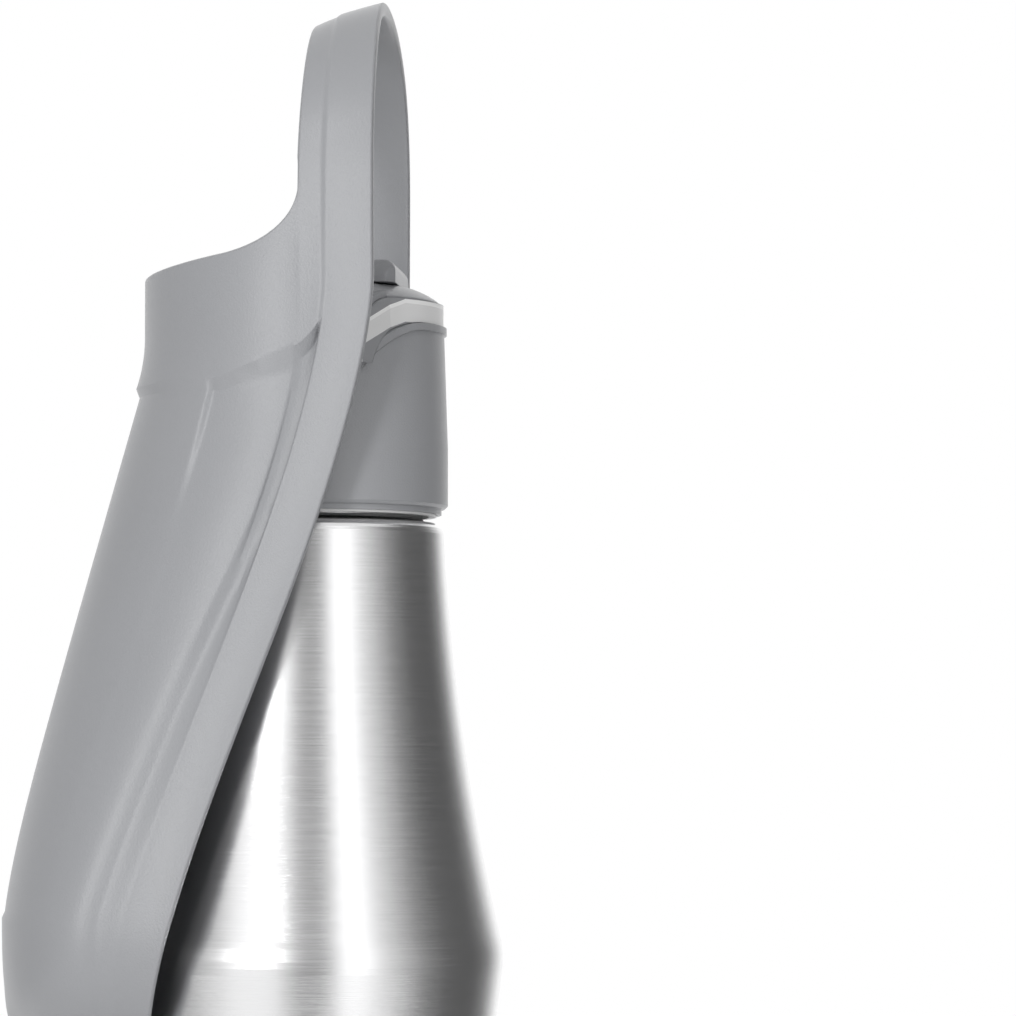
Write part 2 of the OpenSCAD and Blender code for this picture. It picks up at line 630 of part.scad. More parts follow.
module trough_shell() {
    points = concat(
        [for (layer = [0, 1]) for (n = [0 : rim_count - 1]) for (j = [0 : cols])
            placed(n, full(n) ? j : min(j, lip_cols), layer)],
        [for (n = [0 : rim_count - 1]) placed(n, 0, 0.5) - [0, rim_round, 0]]);
    faces = [for (n = [0 : rim_count - 1])
        let (wide = full(n) && full(n + 1), last = wide ? cols : lip_cols, m = n + 1,
             crown = 2 * skin + n, next = 2 * skin + m % rim_count)
        each concat(
            [for (j = [0 : last - 1]) each [
                [at(n, j, 0), at(n, j + 1, 0), at(m, j, 0)],
                [at(m, j, 0), at(n, j + 1, 0), at(m, j + 1, 0)],
                [at(n, j, 1), at(m, j, 1), at(n, j + 1, 1)],
                [at(m, j, 1), at(m, j + 1, 1), at(n, j + 1, 1)]]],
            [[at(n, 0, 0), at(m, 0, 0), crown], [crown, at(m, 0, 0), next],
             [crown, next, at(n, 0, 1)], [at(n, 0, 1), next, at(m, 0, 1)]],
            wide ? [] : [[at(n, lip_cols, 0), at(n, lip_cols, 1), at(m, lip_cols, 0)],
                         [at(m, lip_cols, 0), at(n, lip_cols, 1), at(m, lip_cols, 1)]])];
    edge = [for (n = [first_hood, rim_count - first_hood]) for (j = [lip_cols : cols - 1])
        each n == first_hood
            ? [[at(n, j, 0), at(n, j, 1), at(n, j + 1, 0)], [at(n, j + 1, 0), at(n, j, 1), at(n, j + 1, 1)]]
            : [[at(n, j, 1), at(n, j, 0), at(n, j + 1, 0)], [at(n, j, 1), at(n, j + 1, 0), at(n, j + 1, 1)]]];
    polyhedron(points, concat(faces, edge));
}

module trough() {
    color(grey) {
        difference() {
            union() {
                trough_shell();
                for (side = [-1, 1]) on_hinge(side) translate([0, 0, boss_in]) cylinder(r = boss_r, h = boss_root - boss_in);
            }
            for (side = [-1, 1]) on_hinge(side) cylinder(r = pin_r + run_gap, h = pin_end + pin_end_gap);
        }
    }
}

steel_body();
base_plate();
neck_seal();
thread_sleeve();
collar();
hinge_yoke();
cap();
vent_valve();
outlet_seal();
pivot_pin_left();
pivot_pin_right();
lock_slider();
trough();
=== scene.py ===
"""Looks of the dog travel water bottle: finely moulded pieces, materials, studio and camera."""
import math

import bmesh
import bpy
import numpy as np
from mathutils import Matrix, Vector


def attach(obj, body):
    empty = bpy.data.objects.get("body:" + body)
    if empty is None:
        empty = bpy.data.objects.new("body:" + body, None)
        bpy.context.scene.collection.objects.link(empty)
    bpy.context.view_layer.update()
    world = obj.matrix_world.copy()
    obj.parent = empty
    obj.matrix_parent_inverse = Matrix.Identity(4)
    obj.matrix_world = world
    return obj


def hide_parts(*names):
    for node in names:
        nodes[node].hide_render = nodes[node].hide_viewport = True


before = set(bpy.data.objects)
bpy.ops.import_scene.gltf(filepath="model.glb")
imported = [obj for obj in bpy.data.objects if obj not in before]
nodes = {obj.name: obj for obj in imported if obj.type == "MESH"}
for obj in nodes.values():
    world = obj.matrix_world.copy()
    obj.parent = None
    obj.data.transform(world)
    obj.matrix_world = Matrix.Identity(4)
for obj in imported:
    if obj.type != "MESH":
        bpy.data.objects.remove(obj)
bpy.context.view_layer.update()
MM = 0.001

# ---------------------------------------------------------------- sizes, in millimetres
# Bottle, collar and white band
BELLY_R = 37.5
COLLAR_R = 26.95
BAND_W = COLLAR_R + 0.9
BAND_R = COLLAR_R - 0.85
BAND_ROUND = 10.0
PIVOT_Y = -2.0
PIVOT_Z = 195.0
LUG_Z = PIVOT_Z - 2.1
BAND_TOP = PIVOT_Z + 10.4
BAND_LOW = PIVOT_Z + 6.1
BAND_EDGE = 0.75            # height of the painted highlight along the band's top, standing in for the glint on its bevel
BAND_BEND_X = 16.0          # where the band's edges begin to fall sideways
BAND_FALL = 0.45            # how steeply they fall
LUG_X = 27.2                # the band's colour goes down the lugs beyond this
ARM_X = BAND_R - 7.3
ARM_BACK = 13.6
ARM_Y = -math.sqrt(BAND_R ** 2 - ARM_X ** 2)

# Cap and its covers over the band's arms
CAP_TOP = BAND_TOP + 3.0
CAP_R = BAND_R - 0.75
CAP_W = BAND_W - 0.85
CAP_SLOPE = 5.2
CAP_BROW = 0.3
CAP_BEND = 1.6
CAP_SKIRT = BAND_TOP - 5
CAP_WALL = 1.5
CAP_ROOF = 2
CAP_STEPS = 120
SPIGOT_R = 23.1
SPIGOT_LOW = BAND_TOP - 4.5
COVER = 1.2
COVER_GAP = 0.1
COVER_LEDGE = 0.75
COVER_FOOT = PIVOT_Z + 6
COVER_FRONT = 2
EAR_HOLE_R = 3.5
EAR_HOLE_END = 23.2
SLOT = (5.3, -3.8, 12.8)    # half width, back and front
OUTLET_Y = -12.2
OUTLET_R = 4.5
OUTLET_TURN = 0.03          # keeps the bore's corners off the cap's middle line
HEAD_REACH = 45             # further than the head goes to either side
OVERCUT = 1                 # how far a cutter stands out of what it cuts
OVERLAP = 0.01              # how far joined solids go into each other

# Slider
SLIDE_GAP = 0.3
SLIDER_W = 29.0
SLIDER_TOP_W = 19.0
SLIDER_Y = (-18.4, 1.8)
SLIDER_H = 4.8
SLIDER_BROW = 1.0
SLIDER_BEND = 1.4
SLIDER_NOSE = 2.4
SLIDER_CORNER_R = 22.15
SLIDER_ROWS = 18
SEAL_ROOM = 1.42            # room round the outlet for its seal
SEAL_TOP = CAP_TOP + 1.5
STEM = (-5, 5, -3.5, 0.5)
FOOT = (-7, 7, -5.5, 2.5)
FOOT_H = 1.2

# Hinge bosses
HINGE_GAP = 0.3
BOSS_R = 7.2
BOSS_IN = BAND_W + HINGE_GAP
BOSS_EDGE = 0.5
BORE_R = 1.45
BORE_END = BOSS_IN + 3.1
BORE_CHAMFER = 0.2

# Trough: walls, widths and heights
WALL = 2.0
LOOP_WALL = 2.6
WALL_RUN = 40               # height over which the wall thins below the step
WAIST_W = BAND_W + 6.6
BOSS_ROOT = WAIST_W - 3.05
LEAF_W = BELLY_R + 2.3
LOOP_W = WAIST_W + 1.3
LOOP_H = 33.8
LOOP_DEPTH = 13.2
NOSE_Z = 61.0
LEAF_FRONT = BELLY_R + 17.8
HOOD_ROOM = 2.2
HOOD_FRONT = BAND_R + HOOD_ROOM + WALL
SPRING_Z = PIVOT_Z + 33
BEND_Z = PIVOT_Z + 13
STEP_Z = PIVOT_Z + 5.8
STEP_ROW = 0.6
WIDE_Z = 93.0
WIDEN = 1.25
WAIST_Z = PIVOT_Z - 5
END_Z = NOSE_Z + 19

# Trough: lip and channel beside it
LIP = 8.3
LIP_FLARE = 0.9
LIP_STEP = 0.35
LIP_SHRINK = {"nose": 0.6, "loop": 0.07}
CHANNEL_W = 4.6
CHANNEL_IN = 1.5
CHANNEL_LOW = 0.8
CHANNEL_SOFT = 0.45
SOFT_FROM = 26.0
SOFT_H = 45.0
SOFT_W = 5.5
PANEL_IN = 1.1
FADE_H = 32.0
NOSE_FADE = 50              # angle round the nose at which the channel has gone
RELIEF_LEAD = 0.2           # how far before the lip's root its steps begin
LIP_RUN = 1.2
CHANNEL_RUN = 1.1
PANEL_RUN = 1.0

# Trough: line of the rim and of the front
RIM_BACK = 16.15
RIM_REACH = BELLY_R - 10.9
RIM_EASE = 0.59
RIM_START = 0.03
RIM_CREST = 0.7
NOSE_ROOM = BELLY_R + 0.1
FRONT_Z = 84.0
FRONT_SLOPE = 0.292
FRONT_ROUND = 20.5

# Trough: hood, its upper edge and the step below it
HOOD_FALL = 13.5
HOOD_SLOPE = 5.0
HOOD_PART = 0.46
HOOD_BEND = 0.34
HOOD_FLARE = (1.6, 0.7)
HOOD_FLARE_H = (13.0, 9.0)
HOOD_THIN = 0.9
STEP_SLOPE = 0.36
STEP_RUN = 21.0
STEP_CURL = 3.6
STEP_CURL_RUN = 5.5
STEP_LEAD = 1.2
SIDE_DROP = 2.4
FRONT_DROP = 1.2
CREASE = 0.46
CREASE_W = 0.05

# Trough: roundness of its curves and edges
LOOP_DRAFT = (1.0, 3.0)
ARCH_N = 2.15
NOSE_N = 2.3
NOSE_SOFT = 1.4
SECTION_N = 2.1
RIM_CROWN = 0.5
EDGE_CROWN = 0.5
CROWN_STEPS = 6
TROUGH_SHARP = 24           # angle in degrees above which an edge stays sharp

# Trough: rows round the rim and columns from the rim to the front
LOOP_ROWS = 30
HOOD_ROWS = 24
LEAF_ROWS = 48
NOSE_ROWS = 36
LIP_T = [0, 0.5, 1.5, 3.0, 5.0, 7.0, LIP - 0.5, LIP - 0.2, LIP, LIP + 0.25, LIP + 0.5, LIP + 0.75,
         LIP + 1.0, LIP + 1.3, LIP + 2.4, LIP + 3.4, LOOP_DEPTH - 0.4, LOOP_DEPTH]
TURNS = [0.4, 0.8, 1.2, 1.6, 2, 2.5, 3, 4, 5.5, 7.5, 10, 13, 16, 19, 22, 24, 25.2, 26, 26.6, 27.2,
         27.9, 28.6, 29.3, 30, 31.5, 34, 38, 42, 46, 50, 55, 60, 65, 70, 75, 80, 85, 90]
LIP_COLS = len(LIP_T) - 1
COLS = LIP_COLS + len(TURNS)


# ---------------------------------------------------------------- curves of the trough
# The trough is a row of stations round its rim. A station has a kind, "loop", "hood", "leaf" or
# "nose", and a place p: an angle in degrees on the loop and the nose, and a height between them.
def ramp(t):
    return max(0.0, min(1.0, t))


def smooth(t):
    c = ramp(t)
    return c * c * (3 - 2 * c)


def mix(a, b, t):
    return a + (b - a) * t


def side_w(z):
    """Half width of the trough between the loop and the nose."""
    if z >= WAIST_Z:
        return mix(WAIST_W, LOOP_W, smooth((z - WAIST_Z) / (SPRING_Z - WAIST_Z)))
    return mix(WAIST_W, LEAF_W, smooth(((WAIST_Z - z) / (WAIST_Z - WIDE_Z)) ** WIDEN))


def rim_xz(kind, p, i, draft=(0.0, 0.0)):
    """Half width and height of a station of the rim, drawn in by i and on the loop by its draft."""
    c, s = math.cos(math.radians(p)), math.sin(math.radians(p))
    if kind == "loop":
        return ((LOOP_W - i - draft[0]) * max(c, 0) ** (2 / ARCH_N),
                SPRING_Z + (LOOP_H - i - draft[1]) * max(s, 0) ** (2 / ARCH_N))
    if kind == "nose":
        c = 0.0 if p >= 90 else c
        return (LEAF_W - i) * max(c, 0) ** (2 / NOSE_N), WIDE_Z - (WIDE_Z - NOSE_Z - i) * s ** (2 / NOSE_N)
    lean = draft[0] * (p - STEP_Z) / (SPRING_Z - STEP_Z) if kind == "hood" else 0
    return side_w(p) - i - lean, p


def rim_line(z):
    """Where the rim's edge lies from back to front, at a height between the loop and the nose."""
    t = (BEND_Z - z) / (BEND_Z - NOSE_Z)
    ease = 0 if t <= 0 else t * t / (t + RIM_START)
    return -RIM_BACK + (RIM_BACK + RIM_REACH) * mix(ease, smooth(t), RIM_EASE)


def rim_y(kind, p):
    """Where the rim's edge lies from back to front at any station. The nose clears the bottle."""
    if kind == "loop":
        return RIM_CREST * math.sin(math.radians(p)) ** 4 - RIM_BACK
    x, z = rim_xz(kind, p, 0)
    if kind != "nose":
        return rim_line(z)
    a, b = rim_line(z), math.sqrt(max(0, NOSE_ROOM ** 2 - x * x))
    return (a + b + math.sqrt((a - b) ** 2 + NOSE_SOFT ** 2)) / 2


def front_y(z):
    """Reach of the leaf's front at a height."""
    d = max(0, z - FRONT_Z)
    return LEAF_FRONT - FRONT_SLOPE * (math.sqrt(d * d + FRONT_ROUND ** 2) - FRONT_ROUND)


def edge_fall(u):
    """Fall of the hood's upper edge at part u of its way to the front."""
    return HOOD_FALL * (1 - (1 - ramp(u / HOOD_PART)) ** 2) ** HOOD_BEND + HOOD_SLOPE * u


def step_fall(d):
    """Fall of the step at distance d behind the lip."""
    return STEP_SLOPE * max(0, min(d, STEP_RUN)) + STEP_CURL * (1 - (1 - ramp(d / STEP_CURL_RUN)) ** 2)


def step_drop(d, u):
    """Height of the step's chamfer."""
    turn = smooth((u - CREASE + CREASE_W) / (2 * CREASE_W))
    return ramp(d / STEP_LEAD) * mix(SIDE_DROP, FRONT_DROP, turn)


def relief(kind, p, d, u):
    """How far the wall is drawn in at distance d behind the lip and part u of the way to the front."""
    below = STEP_Z - p if kind == "leaf" else STEP_Z - WIDE_Z if kind == "nose" else 0
    merge = 1 - smooth(below / FADE_H)
    keep = {"leaf": 1.0, "nose": 1 - smooth(p / NOSE_FADE)}.get(kind, 0.0)
    side = PANEL_IN * merge
    soft = smooth((below - SOFT_FROM) / SOFT_H)
    deep = mix(mix(CHANNEL_LOW, CHANNEL_SOFT, soft), CHANNEL_IN, merge)
    e = LIP_FLARE * (1 - (1 - ramp(1 + d / LIP)) ** 2)
    step = LIP_STEP * smooth((d + RELIEF_LEAD) / mix(LIP_RUN, SOFT_W, soft))
    e += step * (keep if kind == "nose" else 1)
    out = (d - CHANNEL_W + PANEL_RUN / 2) / mix(PANEL_RUN, SOFT_W, soft)
    inward = smooth((d + RELIEF_LEAD) / mix(CHANNEL_RUN, SOFT_W, soft))
    channel = mix(deep, side, smooth(out)) * inward
    return e + keep * (channel - side * smooth((u - CREASE) / CREASE_W))


def shell_wall(kind, p):
    if kind in ("loop", "hood"):
        return LOOP_WALL
    return mix(LOOP_WALL, WALL, ramp((STEP_Z - p) / WALL_RUN)) if kind == "leaf" else WALL


def up_leaf(z):
    """1 at the step under the hood, 0 at the widest part of the leaf and below."""
    return 1 - ramp((STEP_Z - z) / (STEP_Z - WIDE_Z))


def front_of(kind, p, layer):
    """Reach of the front at a station."""
    if kind in ("loop", "hood"):
        flare = HOOD_FLARE[layer] * ramp(1 - (p - STEP_Z) / HOOD_FLARE_H[layer]) ** 2
        return HOOD_FRONT + flare - (0 if layer else HOOD_THIN)
    if kind == "nose":
        return front_y(END_Z)
    fall = STEP_SLOPE * STEP_RUN + STEP_CURL + FRONT_DROP
    return front_y(p - up_leaf(p) * fall)


def shell(kind, p, j, layer):
    """Point of the outer skin (layer 0) or the inner skin (layer 1) at column j of a station.

    The first columns run along the lip, t from its edge. The rest turn to the front by the angle a,
    and u is the part of the way that they have gone.
    """
    scale = 1 - LIP_SHRINK.get(kind, 0) * math.sin(math.radians(p))
    t = LIP_T[min(j, LIP_COLS)]
    a = 0 if j <= LIP_COLS else math.radians(TURNS[j - LIP_COLS - 1])
    c = 0.0 if j == COLS else math.cos(a) ** (2 / SECTION_N)
    u = math.sin(a) ** (2 / SECTION_N)
    back = rim_y(kind, p)
    root = back + t * scale
    front = front_of(kind, p, layer)
    d = (mix(root, front, u) - back) / scale - LIP
    e = relief(kind, p, d, u) + layer * shell_wall(kind, p)
    draft = [k * (t / LOOP_DEPTH) ** 2 for k in LOOP_DRAFT]
    x, z = rim_xz(kind, p, e, draft)
    if kind == "nose":
        z = mix(mix(WIDE_Z, END_Z, (WIDE_Z - z) / (WIDE_Z - NOSE_Z - e)), z, c)
    elif kind == "leaf":
        z -= up_leaf(p) * (step_fall(d) + step_drop(d, u))
    elif kind == "hood":
        z -= mix(edge_fall(u), step_fall(d), (SPRING_Z - p) / (SPRING_Z - STEP_Z))
    return x * c, mix(root, front - layer * WALL, u), z


def stations():
    """Kind and place of each station on one side, from the top of the loop to the tip of the nose."""
    rows = [("loop", 90 - 90 / LOOP_ROWS * i) for i in range(LOOP_ROWS)]
    rows += [("hood", mix(SPRING_Z, STEP_Z, i / HOOD_ROWS)) for i in range(HOOD_ROWS + 1)]
    rows += [("leaf", mix(STEP_Z - STEP_ROW, WIDE_Z, i / LEAF_ROWS)) for i in range(LEAF_ROWS + 1)]
    rows += [("nose", 90 / NOSE_ROWS * i) for i in range(1, NOSE_ROWS + 1)]
    return rows


# ---------------------------------------------------------------- mesh tools
def placed(name, data):
    obj = bpy.data.objects.new(name, data)
    bpy.context.scene.collection.objects.link(obj)
    return obj


def mesh_object(name, bm):
    mesh = bpy.data.meshes.new(name)
    bm.to_mesh(mesh)
    bm.free()
    return placed(name, mesh)


def make_object(name, bm, angle=30):
    """Turns a bmesh into an object with smooth faces and sharp edges above an angle."""
    bmesh.ops.remove_doubles(bm, verts=bm.verts, dist=1e-6)
    bmesh.ops.recalc_face_normals(bm, faces=bm.faces)
    limit = math.radians(angle)
    for edge in bm.edges:
        edge.smooth = len(edge.link_faces) == 2 and edge.calc_face_angle(0) < limit
    for face in bm.faces:
        face.smooth = True
    return mesh_object(name, bm)


def full_turn(steps):
    return [2 * math.pi * k / steps for k in range(steps)]


def quarter_turn(step):
    """Angles from 0 to 90 degrees, a step apart."""
    return [math.radians(step * k) for k in range(int(90 / step) + 1)]


def join_rings(bm, low, high):
    """Faces between two rings with the same number of vertices. A ring may be one vertex repeated."""
    for k in range(len(low)):
        m = (k + 1) % len(low)
        bm.faces.new(list(dict.fromkeys([low[k], low[m], high[m], high[k]])))


def lathe(profile, place, steps=48):
    """Revolves (radius, height) pairs. place turns a radius, an angle and a height into a point."""
    bm = bmesh.new()
    rings = []
    for r, h in profile:
        if r == 0:
            rings.append([bm.verts.new(Vector(place(0, 0, h)) * MM)] * steps)
        else:
            rings.append([bm.verts.new(Vector(place(r, a, h)) * MM) for a in full_turn(steps)])
    for low, high in zip(rings, rings[1:]):
        join_rings(bm, low, high)
    return bm


def upright(y=0.0, start=0.0):
    """Place function of an upright lathe whose axis is at y, with its first corner at the angle start."""
    return lambda r, a, h: (r * math.cos(a + start), y + r * math.sin(a + start), h)


def on_hinge(side):
    """Place function of a lathe whose axis is the hinge."""
    return lambda r, a, h: (side * h, PIVOT_Y + r * math.cos(a), PIVOT_Z + r * math.sin(a))


def drum(r, low, high, place):
    return lathe([(0, low), (r, low), (r, high), (0, high)], place, 64)


def loft(rings):
    """Closed solid through outlines with the same number of points."""
    bm = bmesh.new()
    rows = [[bm.verts.new(Vector(point) * MM) for point in ring] for ring in rings]
    bm.faces.new(rows[0])
    bm.faces.new(rows[-1])
    for low, high in zip(rows, rows[1:]):
        join_rings(bm, low, high)
    bmesh.ops.remove_doubles(bm, verts=bm.verts, dist=1e-7)
    bmesh.ops.dissolve_degenerate(bm, edges=bm.edges, dist=1e-7)
    return bm


def along_y(outline):
    """Solid with this upright outline, longer than the head from back to front."""
    return loft([[(x, y, z) for x, z in outline] for y in (-HEAD_REACH, HEAD_REACH)])


def block(x0, x1, y0, y1, z0, z1):
    return loft([[(x0, y0, z), (x1, y0, z), (x1, y1, z), (x0, y1, z)] for z in (z0, z1)])


def arch(half_w, low, top, r):
    """Upright outline with a flat top and two round shoulders."""
    shoulder = [(half_w - r + r * math.cos(a), top - r + r * math.sin(a)) for a in quarter_turn(5)]
    half = [(half_w, low)] + shoulder
    return half + [(-x, z) for x, z in reversed(half)]


def tool_object(bm):
    bmesh.ops.recalc_face_normals(bm, faces=bm.faces)
    return mesh_object("tool", bm)


def combined(bm, *steps):
    """Takes a solid through boolean steps, each an operation and a second solid."""
    base = tool_object(bm)
    tools = []
    for operation, other in steps:
        tools.append(tool_object(other))
        change = base.modifiers.new(operation, "BOOLEAN")
        change.operation = operation
        change.solver = "EXACT"
        change.object = tools[-1]
    bpy.context.view_layer.update()
    result = bmesh.new()
    result.from_mesh(base.evaluated_get(bpy.context.evaluated_depsgraph_get()).data)
    for obj in [base] + tools:
        bpy.data.objects.remove(obj)
    return result


def crowned_strip(bm, pairs, dirs, crown):
    """Joins outer and inner vertices all the way round, with an edge rounded out by crown along dirs."""
    rings = []
    for (outer, inner), d in zip(pairs, dirs):
        mid, half = (outer.co + inner.co) / 2, (outer.co - inner.co) / 2
        ring = [outer]
        for k in range(1, CROWN_STEPS):
            a = math.pi * k / CROWN_STEPS
            ring.append(bm.verts.new(mid + half * math.cos(a) + d * crown * MM * math.sin(a)))
        rings.append(ring + [inner])
    for n, a in enumerate(rings):
        b = rings[(n + 1) % len(rings)]
        for k in range(CROWN_STEPS):
            face = [a[k], a[k + 1], b[k + 1], b[k]]
            if len(set(face)) == 4:
                bm.faces.new(face)


# ---------------------------------------------------------------- pieces
def trough_moulding():
    """Bowl, hood and carrying loop: an outer and an inner skin with rounded edges between them."""
    half = stations()
    last = len(half) - 1
    count = 2 * last
    left, right = LOOP_ROWS, count - LOOP_ROWS
    bm = bmesh.new()
    grid = {}
    for n in range(count):
        kind, p = half[n if n <= last else count - n]
        side = 1 if n <= last else -1
        for j in range((COLS if left <= n <= right else LIP_COLS) + 1):
            for layer in (0, 1):
                x, y, z = shell(kind, p, j, layer)
                grid[n, j, layer] = bm.verts.new((side * x * MM, y * MM, z * MM))
    for n in range(count):
        m = (n + 1) % count
        wide = left <= n <= right and left <= m <= right
        for j in range(COLS if wide else LIP_COLS):
            for layer in (0, 1):
                bm.faces.new([grid[n, j, layer], grid[n, j + 1, layer],
                              grid[m, j + 1, layer], grid[m, j, layer]])
    rim = [(grid[n, 0, 0], grid[n, 0, 1]) for n in range(count)]
    crowned_strip(bm, rim, [Vector((0, -1, 0))] * count, RIM_CROWN)
    edge = [(n % count, LIP_COLS) for n in range(right - count, left + 1)]
    edge += [(left, j) for j in range(LIP_COLS + 1, COLS + 1)]
    edge += [(right, j) for j in range(COLS - 1, LIP_COLS, -1)]
    dirs = []
    for n, j in edge:
        here = grid[n, j, 0].co
        along = (here - grid[n, j - 1, 0].co).normalized()
        if n not in (left, right):
            dirs.append(along)
            continue
        up = (here - grid[left + 1 if n == left else right - 1, j, 0].co).normalized()
        dirs.append((along + up).normalized() if j == LIP_COLS else up)
    crowned_strip(bm, [(grid[n, j, 0], grid[n, j, 1]) for n, j in edge], dirs, EDGE_CROWN)
    return make_object("trough_moulding", bm, TROUGH_SHARP)


def boss(name, side):
    """Boss inside the trough with the blind bore that its pin turns in."""
    bore = [(0, BORE_END), (BORE_R, BORE_END), (BORE_R, BOSS_IN + BORE_CHAMFER),
            (BORE_R + BORE_CHAMFER, BOSS_IN)]
    rounding = [(BOSS_R - BOSS_EDGE + BOSS_EDGE * math.sin(a), BOSS_IN + BOSS_EDGE - BOSS_EDGE * math.cos(a))
                for a in quarter_turn(22.5)]
    return make_object(name, lathe(bore + rounding + [(BOSS_R, BOSS_ROOT), (0, BOSS_ROOT)], on_hinge(side)))


def cap_moulding():
    """Low dome inside the band, with a cover over each arm of the band."""
    rise = CAP_TOP - BAND_TOP - CAP_BROW
    dome = [(CAP_R - CAP_SLOPE + CAP_SLOPE * max(0, math.cos(a)) ** CAP_BEND,
             BAND_TOP + CAP_BROW + rise * math.sin(a) ** CAP_BEND) for a in quarter_turn(6)]
    body = lathe([(0, CAP_SKIRT), (CAP_R, CAP_SKIRT)] + dome + [(0, CAP_TOP)], upright(), CAP_STEPS)
    body = combined(body, ("INTERSECT", along_y(arch(CAP_W, LUG_Z, CAP_TOP + OVERLAP, BAND_ROUND))))
    side, rear = BOSS_IN - HINGE_GAP + COVER, ARM_Y + COVER_LEDGE
    plan = [(-side, COVER_FRONT), (-side, COVER_LEDGE - ARM_BACK), (-ARM_X, rear), (ARM_X, rear),
            (side, COVER_LEDGE - ARM_BACK), (side, COVER_FRONT)]
    cover = combined(along_y(arch(BAND_W + COVER, LUG_Z, BAND_TOP + COVER, BAND_ROUND + COVER)),
                     ("INTERSECT", loft([[(x, y, z) for x, y in plan] for z in (COVER_FOOT, CAP_TOP)])))
    wide, back, front = SLOT
    low, high = BAND_TOP - OVERCUT, CAP_TOP + OVERCUT
    ears = [("DIFFERENCE", drum(EAR_HOLE_R, 0, EAR_HOLE_END, on_hinge(side))) for side in (-1, 1)]
    body = combined(
        body,
        ("UNION", cover),
        ("DIFFERENCE", along_y(arch(BAND_W + COVER_GAP, LUG_Z, BAND_TOP, BAND_ROUND))),
        ("UNION", drum(SPIGOT_R, SPIGOT_LOW, BAND_TOP + OVERLAP, upright())),
        ("DIFFERENCE", drum(SPIGOT_R - CAP_WALL, SPIGOT_LOW - OVERCUT, CAP_TOP - CAP_ROOF, upright())),
        ("DIFFERENCE", drum(OUTLET_R, low, high, upright(OUTLET_Y, OUTLET_TURN))),
        ("DIFFERENCE", block(-wide, wide, back, front, low, high)),
        *ears)
    return make_object("cap_moulding", body)


def slider_moulding():
    """Thumb block with sloped sides and rounded ends, its stem and its foot."""
    low, top = CAP_TOP + SLIDE_GAP, CAP_TOP + SLIDER_H
    slope_w, slope_h = (SLIDER_W - SLIDER_TOP_W) / 2, SLIDER_H - SLIDE_GAP - SLIDER_BROW
    half = [(SLIDER_W / 2, low)]
    half += [(SLIDER_TOP_W / 2 + slope_w * max(0, math.cos(a)) ** SLIDER_BEND,
              top - slope_h * (1 - math.sin(a) ** SLIDER_BEND)) for a in quarter_turn(6)]
    back, front = SLIDER_Y
    ends = [SLIDER_NOSE * (1 - math.cos(a)) for a in quarter_turn(10)]
    middle = np.linspace(back + SLIDER_NOSE, front - SLIDER_NOSE, SLIDER_ROWS)[1:-1]
    rings = []
    for y in [back + t for t in ends] + list(middle) + [front - t for t in reversed(ends)]:
        t = min(y - back, front - y, SLIDER_NOSE)
        roof = top - SLIDER_NOSE + math.sqrt(max(0, SLIDER_NOSE ** 2 - (SLIDER_NOSE - t) ** 2))
        side = math.sqrt(SLIDER_CORNER_R ** 2 - y * y)
        ring = [(min(x, side), min(z, roof)) for x, z in half]
        rings.append([(x, y, z) for x, z in ring] + [(-x, y, z) for x, z in reversed(ring)])
    foot = CAP_TOP - CAP_ROOF - SLIDE_GAP - FOOT_H
    body = combined(
        loft(rings),
        ("DIFFERENCE", drum(OUTLET_R + SEAL_ROOM, low - OVERCUT, SEAL_TOP, upright(OUTLET_Y))),
        ("UNION", block(*STEM, foot, low + OVERLAP)),
        ("UNION", block(*FOOT, foot, foot + FOOT_H)))
    return make_object("slider_moulding", body)


# ---------------------------------------------------------------- materials
def new_material(name, color, rough, metallic=0.0):
    mat = bpy.data.materials.new(name)
    mat.use_nodes = True
    bsdf = mat.node_tree.nodes["Principled BSDF"]
    bsdf.inputs["Base Color"].default_value = (*color, 1)
    bsdf.inputs["Roughness"].default_value = rough
    bsdf.inputs["Metallic"].default_value = metallic
    return mat, mat.node_tree, bsdf


def add(tree, kind, **inputs):
    node = tree.nodes.new(kind)
    for key, value in inputs.items():
        node.inputs[key.replace("_", " ")].default_value = value
    return node


def math_node(tree, operation, first, second):
    """Output of a math node. Each input is a number or a socket."""
    node = tree.nodes.new("ShaderNodeMath")
    node.operation = operation
    for socket, value in zip(node.inputs, (first, second)):
        if isinstance(value, (int, float)):
            socket.default_value = value
        else:
            tree.links.new(value, socket)
    return node.outputs[0]


def uneven(tree, bsdf, noise, color, spread, smoothest, roughest):
    """Lets a noise vary the colour by a share up and down, and the roughness between two values."""
    tint = tree.nodes.new("ShaderNodeMixRGB")
    tint.inputs[1].default_value = (*[c * (1 - spread) for c in color], 1)
    tint.inputs[2].default_value = (*[min(1, c * (1 + spread)) for c in color], 1)
    tree.links.new(noise.outputs["Fac"], tint.inputs[0])
    tree.links.new(tint.outputs[0], bsdf.inputs["Base Color"])
    gloss = add(tree, "ShaderNodeMapRange", To_Min=smoothest, To_Max=roughest)
    tree.links.new(noise.outputs["Fac"], gloss.inputs["Value"])
    tree.links.new(gloss.outputs["Result"], bsdf.inputs["Roughness"])


